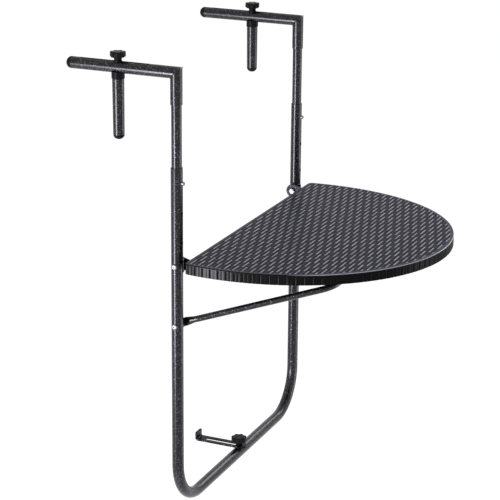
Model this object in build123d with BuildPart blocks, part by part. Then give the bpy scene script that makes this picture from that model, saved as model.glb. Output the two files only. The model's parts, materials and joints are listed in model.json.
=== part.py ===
from build123d import *
import os
from math import atan2, cos, hypot, sin, sqrt

os.makedirs("parts", exist_ok=True)

# Balcony railing table. Millimetres, +Z up. The user sits on the -Y side, the railing is on
# the +Y side. The origin lies midway between the two uprights, at the height where the
# underside of the hook arms bears on the railing's top.

# ---- driving dimensions -----------------------------------------------------------------
SPACING = 560.0            # upright to upright, axis to axis
TUBE_R = 11.0              # frame and hook tube, 22 mm outside diameter
TUBE_WALL = 1.2
ROD_R = 9.5                # telescopic rod, 19 mm outside diameter
ROD_WALL = 1.2
CLEAR = 0.3                # gap left between parts that slide over each other
RUNNING = 0.08             # radial clearance of a pivot or a thread
ARM_LENGTH = 218.0         # upright axis to the tip of the hook arm
SLEEVE_DROP = 57.0         # the hook's vertical leg, below the arm's axis
PIVOT_DROP = 355.0         # arm axis down to the tabletop bolts
TUBE_TOP_RISE = 183.0      # lower tube's top edge above those bolts
BUTTON_RISE = 155.0        # uppermost adjusting hole above those bolts
HOLE_PITCH = 56.0
HOLE_COUNT = 3
STAY_DROP = 115.0          # stay bolts below the tabletop bolts
RAIL_DROP = 481.0          # bottom rail's axis below the tabletop bolts
BEND_R = 88.0              # centre-line radius of the two bottom bends

TOP_HALF_WIDTH = 305.0     # the tabletop is an ellipse cut off by its straight back edge
TOP_CENTRE_Y = -83.0
TOP_HALF_LENGTH = 337.0
TOP_BACK_Y = -23.0
TOP_RISE = 12.5            # tabletop surface above the bolts
TOP_DEPTH = 19.5           # full height of the rim
TOP_WALL = 3.0
TOP_DECK = 3.5
TOP_CORNER_R = 10.0
TOP_EDGE_R = 3.0
HINGE_Y = -21.0            # the tabletop's own hinge axis, in front of the tubes
RIB_THICK = 2.0            # stiffening ribs under the deck
RIB_DEPTH = 4.0
RIB_PITCH_X = 76.0
RIB_PITCH_Y = 66.0

STAY_R = 6.0               # folding stay, 12 mm tube
STAY_WALL = 1.0
STAY_REACH = 279.0         # crosspiece in front of the uprights
STAY_BELOW = 20.0          # crosspiece axis below the tabletop bolts
STAY_HALF = 218.0          # half the distance between the stay's front corners
STAY_BEND_R = 28.0

PEG_LENGTH = {"left": 121.0, "right": 104.0}
PEG_TOP_R = 11.0
PEG_TIP_R = 10.4
PEG_Y = {"left": 115.0, "right": 101.0}
SLOT_START, SLOT_END = 52.0, 190.0
PEG_KNOB_R = 14.5
STANDOFF_KNOB_R = 15.5
KNOB_HEAD = 10.0
KNOB_LOBES = 7
BUTTON_R = 3.6             # snap button that locks the height
BUTTON_PROUD = 4.5         # how far it stands out of the lower tube
BOLT_R = 3.0               # M6 hardware
BOLT_CLEAR = 0.25
BOSS_R = 8.0               # threaded boss on the bottom rail
BOSS_PLUG_R = 4.5
BAR_WIDTH = 25.0
BAR_THICK = 3.0
BAR_TIP_Y = 92.0
BAR_BACK_Y = -17.0

# ---- levels and places worked out from them ------------------------------------------------
HALF = SPACING / 2
ARM_Z = TUBE_R
SLEEVE_Z = ARM_Z - SLEEVE_DROP
PIVOT_Z = ARM_Z - PIVOT_DROP
TUBE_TOP_Z = PIVOT_Z + TUBE_TOP_RISE
BUTTON_Z = PIVOT_Z + BUTTON_RISE
STAY_Z = PIVOT_Z - STAY_DROP
RAIL_Z = PIVOT_Z - RAIL_DROP
TOP_Z = PIVOT_Z + TOP_RISE
RIM_Z = TOP_Z - TOP_DEPTH
DECK_Z = TOP_Z - TOP_DECK
SIDES = (("left", -1), ("right", 1))
HOOK_WALL = TUBE_R - ROD_R - 0.05
STUD_HOLE_R = BOLT_R + 0.4             # free passage for a stud


def save(piece, name):
    """Label a finished piece and write it as its own STEP file."""
    piece.part.label = name
    export_step(piece.part, f"parts/{name}.step")


def across(x, y, z):
    """Plane whose normal runs along +X, for pins and plates that lie across the table."""
    return Plane(origin=(x, y, z), x_dir=(0, 1, 0), z_dir=(1, 0, 0))


# ---- lower frame: one tube bent to a U -----------------------------------------------------
with BuildPart() as lower_frame:
    with BuildLine(Plane.XZ) as u_path:
        FilletPolyline(
            (-HALF, TUBE_TOP_Z), (-HALF, RAIL_Z), (HALF, RAIL_Z), (HALF, TUBE_TOP_Z),
            radius=BEND_R)
    with BuildSketch(Plane(origin=u_path.line @ 0, z_dir=u_path.line % 0)):
        Circle(TUBE_R)
        Circle(TUBE_R - TUBE_WALL, mode=Mode.SUBTRACT)
    sweep(path=u_path.line)
    # three adjusting holes on the user's side of each upright
    for _, s in SIDES:
        for i in range(HOLE_COUNT):
            with Locations((s * HALF, -TUBE_R, BUTTON_Z - i * HOLE_PITCH)):
                Cylinder(BUTTON_R + CLEAR, TUBE_R, rotation=(90, 0, 0), mode=Mode.SUBTRACT)
        # bolt holes through both walls
        for z in (PIVOT_Z, STAY_Z):
            with Locations((s * HALF, 0, z)):
                Cylinder(BOLT_R + BOLT_CLEAR, 3 * TUBE_R, rotation=(0, 90, 0),
                         mode=Mode.SUBTRACT)
    # hole for the threaded boss on top of the bottom rail
    with Locations((0, 0, RAIL_Z + TUBE_R)):
        Cylinder(BOSS_PLUG_R + BOLT_CLEAR, TUBE_R, mode=Mode.SUBTRACT)
save(lower_frame, "lower_frame")


# ---- upper rods and hook arms --------------------------------------------------------------
ROD_TOP_Z = ARM_Z - 14.0               # the rod stops just short of the mitred corner
ROD_END_Z = PIVOT_Z + 129.0
END_CAP_RIM = 2.0                      # straight rim of the end cap, before its dome
END_CAP_DOME = 10.0
END_CAP_PLUG = 13.0                    # part of the cap inside the tube
ARM_TUBE_Y = ARM_LENGTH - END_CAP_RIM - END_CAP_DOME
SEAM_R = 0.9                           # weld bead round the mitred corner
SEAM_PROUD = 0.4                       # what grinding leaves of it on the outside
MITRE_ROUND = 4.0

for name, s in SIDES:
    x = s * HALF
    with BuildPart() as upper_rod:
        with BuildSketch(Plane.XY.offset(ROD_END_Z)):
            with Locations((x, 0)):
                Circle(ROD_R)
                Circle(ROD_R - ROD_WALL, mode=Mode.SUBTRACT)
        extrude(amount=ROD_TOP_Z - ROD_END_Z)
        with Locations((x, -ROD_R, BUTTON_Z)):
            Cylinder(BUTTON_R + CLEAR, ROD_R, rotation=(90, 0, 0), mode=Mode.SUBTRACT)
    save(upper_rod, f"upper_rod_{name}")

    with BuildPart() as hook_arm:
        with BuildLine() as hook_path:
            Polyline((x, 0, SLEEVE_Z), (x, 0, ARM_Z), (x, ARM_TUBE_Y, ARM_Z))
        with BuildSketch(Plane(origin=(x, 0, SLEEVE_Z), z_dir=(0, 0, 1))):
            Circle(TUBE_R)
            Circle(TUBE_R - HOOK_WALL, mode=Mode.SUBTRACT)
        sweep(path=hook_path.line, transition=Transition.RIGHT)
        # slot through the top and bottom walls, along which the peg is set
        with BuildSketch(Plane.XY):
            with Locations((x, (SLOT_START + SLOT_END) / 2)):
                SlotOverall(SLOT_END - SLOT_START, 2 * STUD_HOLE_R, rotation=90)
        extrude(amount=2 * TUBE_R, mode=Mode.SUBTRACT)
        # weld bead on the ellipse where the two mitred ends meet
        mitre = Plane(origin=(x, 0, ARM_Z), x_dir=(1, 0, 0), z_dir=(0, 1, 1))
        with BuildLine(mitre) as seam:
            EllipticalCenterArc((0, 0), TUBE_R, TUBE_R * sqrt(2), arc_size=360)
        with BuildSketch(Plane(origin=seam.line @ 0, z_dir=seam.line % 0)):
            Circle(SEAM_R)
        sweep(path=seam.line)
        # the corner's outside is ground round
        with BuildSketch(Plane.YZ.offset(x - 2 * TUBE_R)):
            with Locations((-TUBE_R - SEAM_PROUD, 2 * TUBE_R + SEAM_PROUD)):
                Rectangle(2 * ARM_LENGTH, 2 * ARM_LENGTH, align=(Align.MIN, Align.MAX))
            fillet(vertices(), radius=MITRE_ROUND)
        extrude(amount=4 * TUBE_R, mode=Mode.INTERSECT)
    save(hook_arm, f"hook_arm_{name}")

    # domed plug in the arm's open end
    with BuildPart() as arm_end_cap:
        with BuildSketch(Plane.YZ.offset(x)):
            with BuildLine():
                plug_y = ARM_TUBE_Y - END_CAP_PLUG
                plug_top = ARM_Z + TUBE_R - HOOK_WALL
                dome_y = ARM_LENGTH - END_CAP_DOME
                Line((plug_y, ARM_Z), (ARM_LENGTH, ARM_Z))
                EllipticalCenterArc((dome_y, ARM_Z), END_CAP_DOME, TUBE_R, arc_size=90)
                Polyline(
                    (dome_y, ARM_Z + TUBE_R), (ARM_TUBE_Y, ARM_Z + TUBE_R),
                    (ARM_TUBE_Y, plug_top), (plug_y + 1, plug_top), (plug_y, plug_top - 1),
                    (plug_y, ARM_Z))
            make_face()
        revolve(axis=Axis((x, 0, ARM_Z), (0, 1, 0)))
    save(arm_end_cap, f"arm_end_cap_{name}")

# ---- snap buttons and their springs, inside the rods ---------------------------------------
FLANGE_R = 4.8
FLANGE_THICK = 1.2
FLANGE_Y = -(ROD_R - ROD_WALL) + 1.8   # outer face of the flange, inside the round wall
LEAF = 0.6                             # spring strip, 5 mm wide
LEAF_WIDTH = 5.0

for name, s in SIDES:
    with BuildPart() as snap_button:
        with BuildSketch(Plane(origin=(s * HALF, FLANGE_Y + FLANGE_THICK, BUTTON_Z),
                               x_dir=(1, 0, 0), z_dir=(0, -1, 0))):
            Circle(FLANGE_R)
        extrude(amount=FLANGE_THICK)
        with BuildSketch(Plane(origin=(s * HALF, FLANGE_Y, BUTTON_Z),
                               x_dir=(1, 0, 0), z_dir=(0, -1, 0))):
            Circle(BUTTON_R)
        extrude(amount=TUBE_R + BUTTON_PROUD + FLANGE_Y)
        fillet(snap_button.faces().sort_by(Axis.Y)[0].edges(), radius=1.8)
    save(snap_button, f"snap_button_{name}")

    # V-shaped leaf spring between the button's flange and the rod's far wall
    with BuildPart() as button_spring:
        front = FLANGE_Y + FLANGE_THICK + LEAF / 2
        back = ROD_R - ROD_WALL - 0.8
        with BuildSketch(Plane.YZ.offset(s * HALF - LEAF_WIDTH / 2)):
            with BuildLine() as leaf:
                FilletPolyline(
                    (front, BUTTON_Z + 4), (front, BUTTON_Z - 5), (1.2, BUTTON_Z - 22),
                    (back, BUTTON_Z - 5), (back, BUTTON_Z + 6), radius=1.6)
            trace(line_width=LEAF)
        extrude(amount=LEAF_WIDTH)
    save(button_spring, f"button_spring_{name}")

# ---- threaded knob: star head, conical neck ------------------------------------------------
LOBE_R = 4.3
KNOB_WAIST = 2.7                       # how far the body between the lobes lies inside them
NECK_TOP_R = 8.5
NECK_FOOT_R = 6.5
PEG_KNOB_NECK = 5.5                    # height of the neck of each kind of knob
STANDOFF_KNOB_NECK = 8.0
STUD_BITE = 8.0                        # how far a stud is moulded into its knob
STUD_CHAMFER = 0.8


def star_knob(x, y, foot_z, neck, reach):
    """Seven-lobed clamping knob that stands on foot_z, with a blind hole for its stud."""
    head_z = foot_z + neck
    with BuildPart() as knob:
        with BuildSketch(Plane.XY.offset(head_z)):
            with Locations((x, y)):
                Circle(reach - KNOB_WAIST)
                with PolarLocations(reach - LOBE_R, KNOB_LOBES):
                    Circle(LOBE_R)
            fillet(vertices(), radius=1.4)
        extrude(amount=KNOB_HEAD)
        fillet(knob.faces().sort_by(Axis.Z)[-1].outer_wire().edges(), radius=2.4)
        fillet(knob.faces().sort_by(Axis.Z)[0].outer_wire().edges(), radius=1.2)
        with BuildSketch(Plane.XY.offset(foot_z)):
            with Locations((x, y)):
                Circle(NECK_FOOT_R)
        with BuildSketch(Plane.XY.offset(head_z)):
            with Locations((x, y)):
                Circle(NECK_TOP_R)
        loft()
        with Locations((x, y, foot_z)):
            Cylinder(BOLT_R, STUD_BITE, align=(Align.CENTER, Align.CENTER, Align.MIN),
                     mode=Mode.SUBTRACT)
    return knob


def stud(x, y, low_z, high_z):
    """Plain M6 stud with chamfered tip."""
    with BuildPart() as rod:
        with Locations((x, y, low_z)):
            Cylinder(BOLT_R, high_z - low_z, align=(Align.CENTER, Align.CENTER, Align.MIN))
        chamfer(rod.edges().sort_by(Axis.Z)[0], length=STUD_CHAMFER)
    return rod


# ---- clamping pegs under the hook arms -----------------------------------------------------
COLLAR_R = 12.0
COLLAR_LOW_Z = -10.0
COLLAR_HIGH_Z = 3.0
SPIGOT_Z = -30.0
PEG_WALL = 1.8
CAP_DOME = 9.0
NUT_FLATS = 10.0
NUT_Z = -8.5
NUT_HEIGHT = 6.0
PAD_R = 7.5
PAD_HIGH_Z = 2 * TUBE_R + 1.5          # flat seat of the pad that the clamp knob turns on
PAD_LOW_Z = 2 * TUBE_R - 3.0
PEG_BORE_R = PEG_TIP_R - PEG_WALL
STUD_BELOW_NUT = 5.0
CAP_PLUG = 12.0
SADDLE_R = TUBE_R + 0.1                # a hollow that fits round the tube
SEAT_GAP = 0.1                         # play under a knob's foot

for name, s in SIDES:
    x, y = s * HALF, PEG_Y[name]
    peg_tube_z = CAP_DOME - PEG_LENGTH[name]       # lower end of the peg's tube

    # collar that hugs the arm from below, with a spigot down into the peg
    with BuildPart() as peg_collar:
        with Locations((x, y, COLLAR_LOW_Z)):
            Cylinder(COLLAR_R, COLLAR_HIGH_Z - COLLAR_LOW_Z,
                     align=(Align.CENTER, Align.CENTER, Align.MIN))
        with Locations((x, y, SPIGOT_Z)):
            Cylinder(PEG_BORE_R, COLLAR_LOW_Z - SPIGOT_Z,
                     align=(Align.CENTER, Align.CENTER, Align.MIN))
        with Locations((x, y, ARM_Z)):
            Cylinder(SADDLE_R, 4 * TUBE_R, rotation=(90, 0, 0), mode=Mode.SUBTRACT)
        # clearance for the stud, and the pocket that keeps its nut from turning
        with Locations((x, y, SPIGOT_Z)):
            Cylinder(STUD_HOLE_R, -SPIGOT_Z + TUBE_R,
                     align=(Align.CENTER, Align.CENTER, Align.MIN), mode=Mode.SUBTRACT)
        with BuildSketch(Plane.XY.offset(SPIGOT_Z)):
            with Locations((x, y)):
                RegularPolygon(NUT_FLATS / 2, 6, major_radius=False)
        extrude(amount=NUT_Z - SPIGOT_Z, mode=Mode.SUBTRACT)
        fillet(peg_collar.edges().filter_by(GeomType.CIRCLE).filter_by(
            lambda e: abs(e.radius - COLLAR_R) < 0.01 and abs(e.center().Z - COLLAR_LOW_Z) < 0.01
        ), radius=1.0)
    save(peg_collar, f"peg_collar_{name}")

    with BuildPart() as peg_nut:
        with BuildSketch(Plane.XY.offset(NUT_Z - NUT_HEIGHT)):
            with Locations((x, y)):
                RegularPolygon(NUT_FLATS / 2, 6, major_radius=False)
                Circle(BOLT_R + RUNNING, mode=Mode.SUBTRACT)
        extrude(amount=NUT_HEIGHT)
    save(peg_nut, f"peg_nut_{name}")

    # tapered tube of the peg itself
    with BuildPart() as peg_tube:
        with BuildSketch(Plane.XY.offset(COLLAR_LOW_Z)):
            with Locations((x, y)):
                Circle(PEG_TOP_R)
        with BuildSketch(Plane.XY.offset(peg_tube_z)):
            with Locations((x, y)):
                Circle(PEG_TIP_R)
        loft()
        with Locations((x, y, peg_tube_z)):
            Cylinder(PEG_BORE_R, COLLAR_LOW_Z - peg_tube_z,
                     align=(Align.CENTER, Align.CENTER, Align.MIN), mode=Mode.SUBTRACT)
    save(peg_tube, f"peg_tube_{name}")

    with BuildPart() as peg_cap:
        with BuildSketch(Plane.YZ.offset(x)):
            with BuildLine():
                plug_z = peg_tube_z + CAP_PLUG
                Line((y, -PEG_LENGTH[name]), (y, plug_z))
                Polyline((y, plug_z), (y + PEG_BORE_R - 1, plug_z),
                         (y + PEG_BORE_R, plug_z - 1), (y + PEG_BORE_R, peg_tube_z),
                         (y + PEG_TIP_R, peg_tube_z))
                EllipticalCenterArc((y, peg_tube_z), PEG_TIP_R, CAP_DOME, 270, arc_size=90)
            make_face()
        revolve(axis=Axis((x, y, 0), (0, 0, 1)))
    save(peg_cap, f"peg_cap_{name}")

    # saddle pad on top of the arm, flat above and hollowed to the tube below
    with BuildPart() as knob_pad:
        with Locations((x, y, PAD_LOW_Z)):
            Cylinder(PAD_R, PAD_HIGH_Z - PAD_LOW_Z,
                     align=(Align.CENTER, Align.CENTER, Align.MIN))
        with Locations((x, y, ARM_Z)):
            Cylinder(SADDLE_R, 4 * TUBE_R, rotation=(90, 0, 0), mode=Mode.SUBTRACT)
        with Locations((x, y, PAD_LOW_Z)):
            Cylinder(STUD_HOLE_R, 4 * TUBE_R, mode=Mode.SUBTRACT)
    save(knob_pad, f"knob_pad_{name}")

    knob_foot_z = PAD_HIGH_Z + SEAT_GAP
    clamp_knob = star_knob(x, y, knob_foot_z, PEG_KNOB_NECK, PEG_KNOB_R)
    save(clamp_knob, f"clamp_knob_{name}")
    clamp_stud = stud(x, y, NUT_Z - NUT_HEIGHT - STUD_BELOW_NUT, knob_foot_z + STUD_BITE)
    save(clamp_stud, f"clamp_stud_{name}")


# ---- hardware through the uprights ----------------------------------------------------------
HEAD_R = 5.25                          # button head of an M6 bolt
HEAD_HEIGHT = 3.3
HEAD_ROUND = 2.4
INNER_FACE = HALF - TUBE_R             # |x| of the side of each upright that faces inwards
SOCKET_FLATS = 4.0
SOCKET_DEPTH = 2.0
NUT_COLLAR = 1.5                       # domed collar on a lock nut's far side
THREAD_END = 1.0                       # what a bolt shows beyond its nut
WRAP_THICK = 1.7                       # sheet wrapped round the tube
CHEEK_OUT = INNER_FACE - 0.9           # |x| of the bracket cheek's two faces
CHEEK_IN = CHEEK_OUT - 2.6
BRACKET_R = 14.0
KNUCKLE_R = 8.0
SPACER_R = 10.0
SPACER_FACE = INNER_FACE - 2.8         # |x| of the flat side of the stay's spacer
EYE_THICK = 5.0
EYE_OUT = SPACER_FACE - SEAT_GAP
EYE_IN = EYE_OUT - EYE_THICK
WASHER_R = 8.0
WASHER_THICK = 1.0


def dome_bolt(s, y, z, end):
    """M6 bolt across one upright: domed hex-socket head outside, shank to |x| = end."""
    head_x = s * (HALF + TUBE_R)
    with BuildPart() as bolt:
        with BuildSketch(across(head_x, y, z)):
            Circle(HEAD_R)
        extrude(amount=s * HEAD_HEIGHT)
        fillet(bolt.faces().sort_by(Axis.X)[-1 if s > 0 else 0].edges(), radius=HEAD_ROUND)
        with BuildSketch(across(head_x + s * HEAD_HEIGHT, y, z)):
            RegularPolygon(SOCKET_FLATS / 2, 6, major_radius=False)
        extrude(amount=-s * SOCKET_DEPTH, mode=Mode.SUBTRACT)
        with BuildSketch(across(head_x, y, z)):
            Circle(BOLT_R)
        extrude(amount=s * (end - abs(head_x)))
    return bolt


def hex_nut(s, y, z, face, height, hole_r):
    """Lock nut whose outer flat face lies at |x| = face, with its domed collar inwards."""
    with BuildPart() as nut:
        with BuildSketch(across(s * face, y, z)):
            RegularPolygon(NUT_FLATS / 2, 6, major_radius=False)
        extrude(amount=-s * (height - NUT_COLLAR))
        with BuildSketch(across(s * face, y, z)):
            Circle(NUT_FLATS / 2 - 0.5)
        extrude(amount=-s * height)
        with BuildSketch(across(s * face, y, z)):
            Circle(hole_r)
        extrude(amount=-s * height, mode=Mode.SUBTRACT)
    return nut


def group(*builders):
    """Several like fasteners written as one node of separate solids."""
    with BuildPart() as whole:
        for builder in builders:
            add(builder.part)
    return whole


save(group(*(dome_bolt(s, 0, PIVOT_Z, CHEEK_IN - NUT_HEIGHT - THREAD_END) for _, s in SIDES)),
     "bracket_bolts")
save(group(*(hex_nut(s, 0, PIVOT_Z, CHEEK_IN, NUT_HEIGHT, BOLT_R) for _, s in SIDES)),
     "bracket_nuts")
stay_nut_face = EYE_IN - SEAT_GAP - WASHER_THICK
save(group(*(dome_bolt(s, 0, STAY_Z, stay_nut_face - NUT_HEIGHT - THREAD_END) for _, s in SIDES)),
     "stay_bolts")
save(group(*(hex_nut(s, 0, STAY_Z, stay_nut_face, NUT_HEIGHT, BOLT_R) for _, s in SIDES)),
     "stay_nuts")

with BuildPart() as stay_washers:
    for _, s in SIDES:
        with BuildSketch(across(s * (EYE_IN - SEAT_GAP), 0, STAY_Z)):
            Circle(WASHER_R)
            Circle(BOLT_R, mode=Mode.SUBTRACT)
        extrude(amount=-s * WASHER_THICK)
save(stay_washers, "stay_washers")

# spacers hollowed to the tube on one side and flat for the stay's eye on the other
with BuildPart() as stay_spacers:
    for _, s in SIDES:
        with BuildSketch(across(s * SPACER_FACE, 0, STAY_Z)):
            Circle(SPACER_R)
            Circle(BOLT_R, mode=Mode.SUBTRACT)
        extrude(amount=s * TUBE_R)
        with BuildSketch(Plane.XY.offset(STAY_Z - 2 * TUBE_R)):
            with Locations((s * HALF, 0)):
                Circle(TUBE_R)
        extrude(amount=4 * TUBE_R, mode=Mode.SUBTRACT)
save(stay_spacers, "stay_spacers")

WRAP_TRIM_R = 17.0                     # rounds the wrap's ends off to a lens shape

for name, s in SIDES:
    # saddle bracket: a wrap round the tube, and a cheek that reaches forward to the hinge
    with BuildPart() as table_bracket:
        with BuildSketch(Plane.XY.offset(PIVOT_Z - WRAP_TRIM_R)):
            with Locations((s * HALF, 0)):
                Circle(SADDLE_R + WRAP_THICK)
                Circle(SADDLE_R, mode=Mode.SUBTRACT)
            with Locations((s * (HALF - BRACKET_R / 2), -BRACKET_R / 2)):
                Rectangle(BRACKET_R, BRACKET_R, mode=Mode.INTERSECT)
        extrude(amount=2 * WRAP_TRIM_R)
        with Locations((s * HALF, 0, PIVOT_Z)):
            Cylinder(WRAP_TRIM_R, 4 * TUBE_R, rotation=(0, 90, 0), mode=Mode.INTERSECT)
        with BuildSketch(across(s * CHEEK_OUT, 0, PIVOT_Z)):
            with Locations((0, 0)):
                Circle(BRACKET_R)
            with Locations((HINGE_Y, 0)):
                Circle(KNUCKLE_R)
            make_hull()
        extrude(amount=-s * (CHEEK_OUT - CHEEK_IN))
        for y in (0, HINGE_Y):
            with Locations((s * CHEEK_OUT, y, PIVOT_Z)):
                Cylinder(BOLT_R, 2 * TUBE_R, rotation=(0, 90, 0), mode=Mode.SUBTRACT)
    save(table_bracket, f"table_bracket_{name}")

# ---- tabletop --------------------------------------------------------------------------------
LUG_OUT = CHEEK_IN - 0.4               # |x| of the hinge block's two sides
LUG_IN = 250.5
LUG_FRONT_Y = -62.0
LUG_LOW_Z = PIVOT_Z - 5.0
NOTCH_IN, NOTCH_OUT = 247.0, 272.5     # |x| where the back of the rim is cut away
LUG_CHAMFER = 9.0                      # slope at the front of the hinge block's foot
PIN_HEAD_R = 5.0
PIN_HEAD = 2.2
PIN_TAIL_R = 4.2
PIN_TAIL = 1.6                         # swaged end
PIN_PLAY = 0.2
CATCH_X = 130.0
CATCH_WIDTH = 24.0
CATCH_Z = PIVOT_Z - STAY_BELOW         # axis of the stay's crosspiece when it is up
CATCH_PLATE = 3.0
CATCH_EXIT = 30.0                      # degrees below level at which the crosspiece leaves
CATCH_FOOT_Y = 19.0                    # screws in front of and behind the crosspiece
CATCH_HALF = 24.0                      # half the length of its plate
CATCH_ROOT = 13.0                      # where its two walls start
CATCH_FRONT = ((-10.5, 2.0), (0.0, -1.0))      # edge of the low lip, from the crosspiece
CATCH_REAR = ((7.5, -7.0), (10.5, -6.0))       # edge of the deep wall behind it
HEAD_SINK = 0.4                        # how deep the screw heads sit in the hinge block
SCREW_R = 1.8
SCREW_BITE = 2.6
SCREW_HEAD_R = 3.4
SCREW_HEAD = 2.2
LUG_SCREWS_Y = (-36.0, -50.0)
# every screw that holds something under the deck: x, y, and the level its head bears on
SCREWS = [(s * (LUG_IN + LUG_OUT) / 2, y, LUG_LOW_Z + SCREW_HEAD + HEAD_SINK)
          for _, s in SIDES for y in LUG_SCREWS_Y]
SCREWS += [(s * CATCH_X, -STAY_REACH + dy, DECK_Z - CATCH_PLATE)
           for _, s in SIDES for dy in (-CATCH_FOOT_Y, CATCH_FOOT_Y)]


def table_outline(inset):
    """Ellipse cut off by the straight back edge, all drawn in by the inset."""
    with BuildSketch() as outline:
        with Locations((0, TOP_CENTRE_Y)):
            Ellipse(TOP_HALF_WIDTH - inset, TOP_HALF_LENGTH - inset)
        with Locations((0, TOP_BACK_Y - inset)):
            Rectangle(3 * TOP_HALF_WIDTH, 3 * TOP_HALF_LENGTH,
                      align=(Align.CENTER, Align.MAX), mode=Mode.INTERSECT)
        fillet(outline.vertices(), radius=TOP_CORNER_R - inset)
    return outline.sketch


with BuildPart() as tabletop:
    with BuildSketch(Plane.XY.offset(RIM_Z)):
        add(table_outline(0))
    extrude(amount=TOP_DEPTH)
    fillet(tabletop.faces().sort_by(Axis.Z)[-1].edges(), radius=TOP_EDGE_R)
    with BuildSketch(Plane.XY.offset(RIM_Z)):
        add(table_outline(TOP_WALL))
    extrude(amount=TOP_DEPTH - TOP_DECK, mode=Mode.SUBTRACT)
    # stiffening ribs on the underside, kept inside the rim and clear of what is screwed on
    with BuildSketch(Plane.XY.offset(DECK_Z - RIB_DEPTH)):
        for i in range(-3, 4):
            with Locations((i * RIB_PITCH_X, TOP_CENTRE_Y)):
                Rectangle(RIB_THICK, 2 * TOP_HALF_LENGTH)
        for j in range(1, 6):
            with Locations((0, TOP_BACK_Y - j * RIB_PITCH_Y)):
                Rectangle(2 * TOP_HALF_WIDTH, RIB_THICK)
        add(table_outline(TOP_WALL), mode=Mode.INTERSECT)
        for _, s in SIDES:
            with Locations((s * (LUG_IN + LUG_OUT) / 2, LUG_FRONT_Y / 2)):
                Rectangle(LUG_OUT - LUG_IN + 4, -LUG_FRONT_Y + 6, mode=Mode.SUBTRACT)
            with Locations((s * CATCH_X, -STAY_REACH)):
                Rectangle(CATCH_WIDTH + 4, 2 * CATCH_HALF, mode=Mode.SUBTRACT)
    extrude(amount=RIB_DEPTH)
    # notches in the back of the rim for the brackets and hinge blocks
    for _, s in SIDES:
        with Locations((s * (NOTCH_IN + NOTCH_OUT) / 2, TOP_BACK_Y, RIM_Z)):
            Box(NOTCH_OUT - NOTCH_IN, 2 * (TOP_WALL + 0.5), TOP_DEPTH - TOP_DECK,
                align=(Align.CENTER, Align.CENTER, Align.MIN), mode=Mode.SUBTRACT)
    with Locations(*((x, y, DECK_Z) for x, y, _ in SCREWS)):
        Cylinder(SCREW_R, SCREW_BITE, align=(Align.CENTER, Align.CENTER, Align.MIN),
                 mode=Mode.SUBTRACT)
save(tabletop, "tabletop")

for name, s in SIDES:
    # moulded hinge block: a knuckle round the pin and a foot under the deck
    with BuildPart() as hinge_block:
        with BuildSketch(across(s * LUG_OUT, 0, 0)):
            with Locations((HINGE_Y, PIVOT_Z)):
                Circle(KNUCKLE_R)
            with BuildLine():
                Polyline(
                    (HINGE_Y, DECK_Z), (LUG_FRONT_Y, DECK_Z), (LUG_FRONT_Y, DECK_Z - 5),
                    (LUG_FRONT_Y + LUG_CHAMFER, LUG_LOW_Z), (HINGE_Y, LUG_LOW_Z),
                    (HINGE_Y, DECK_Z))
            make_face()
        extrude(amount=-s * (LUG_OUT - LUG_IN))
        with Locations((s * LUG_OUT, HINGE_Y, PIVOT_Z)):
            Cylinder(BOLT_R + RUNNING, 4 * KNUCKLE_R, rotation=(0, 90, 0), mode=Mode.SUBTRACT)
        for y in LUG_SCREWS_Y:
            with Locations((s * (LUG_IN + LUG_OUT) / 2, y, LUG_LOW_Z)):
                Cylinder(SCREW_R, 2 * (DECK_Z - LUG_LOW_Z), mode=Mode.SUBTRACT)
                Cylinder(SCREW_HEAD_R + PIN_PLAY, 2 * (SCREW_HEAD + HEAD_SINK),
                         mode=Mode.SUBTRACT)
    save(hinge_block, f"hinge_block_{name}")

    # cradle under the deck that the stay's crosspiece seats in: deep wall behind, low lip in
    # front, and an open way out along the path that the crosspiece takes when it leaves
    with BuildPart() as stay_catch:
        with BuildSketch(across(s * CATCH_X - CATCH_WIDTH / 2, -STAY_REACH, CATCH_Z)):
            with BuildLine():
                top = DECK_Z - CATCH_Z
                Polyline(
                    (CATCH_HALF, top), (-CATCH_HALF, top), (-CATCH_HALF, top - CATCH_PLATE),
                    (-CATCH_ROOT, top - CATCH_PLATE), *CATCH_FRONT, *CATCH_REAR,
                    (CATCH_ROOT, top - CATCH_PLATE), (CATCH_HALF, top - CATCH_PLATE),
                    (CATCH_HALF, top))
            make_face()
            Circle(STAY_R + CLEAR, mode=Mode.SUBTRACT)
            with Locations(Location((0, 0, 0), (0, 0, 180 + CATCH_EXIT))):
                Rectangle(40, 2 * (STAY_R + CLEAR), align=(Align.MIN, Align.CENTER),
                          mode=Mode.SUBTRACT)
        extrude(amount=CATCH_WIDTH)
        for dy in (-CATCH_FOOT_Y, CATCH_FOOT_Y):
            with Locations((s * CATCH_X, -STAY_REACH + dy, DECK_Z)):
                Cylinder(SCREW_R, 3 * CATCH_PLATE, mode=Mode.SUBTRACT)
    save(stay_catch, f"stay_catch_{name}")

    # hinge pin: head outside, shank through the bracket's nose and the knuckle, swaged end
    with BuildPart() as hinge_pin:
        with BuildSketch(across(s * CHEEK_OUT, HINGE_Y, PIVOT_Z)):
            Circle(PIN_HEAD_R)
        extrude(amount=s * PIN_HEAD)
        fillet(hinge_pin.faces().sort_by(Axis.X)[-1 if s > 0 else 0].edges(), radius=1.5)
        with BuildSketch(across(s * CHEEK_OUT, HINGE_Y, PIVOT_Z)):
            Circle(BOLT_R)
        extrude(amount=-s * (CHEEK_OUT - LUG_IN + PIN_PLAY))
        with BuildSketch(across(s * (LUG_IN - PIN_PLAY), HINGE_Y, PIVOT_Z)):
            Circle(PIN_TAIL_R)
        extrude(amount=-s * PIN_TAIL)
    save(hinge_pin, f"hinge_pin_{name}")

with BuildPart() as table_screws:
    for x, y, seat in SCREWS:
        with Locations((x, y, seat)):
            Cylinder(SCREW_HEAD_R, SCREW_HEAD, align=(Align.CENTER, Align.CENTER, Align.MAX))
            Cylinder(SCREW_R, DECK_Z + SCREW_BITE - seat,
                     align=(Align.CENTER, Align.CENTER, Align.MIN))
save(table_screws, "table_screws")

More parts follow.
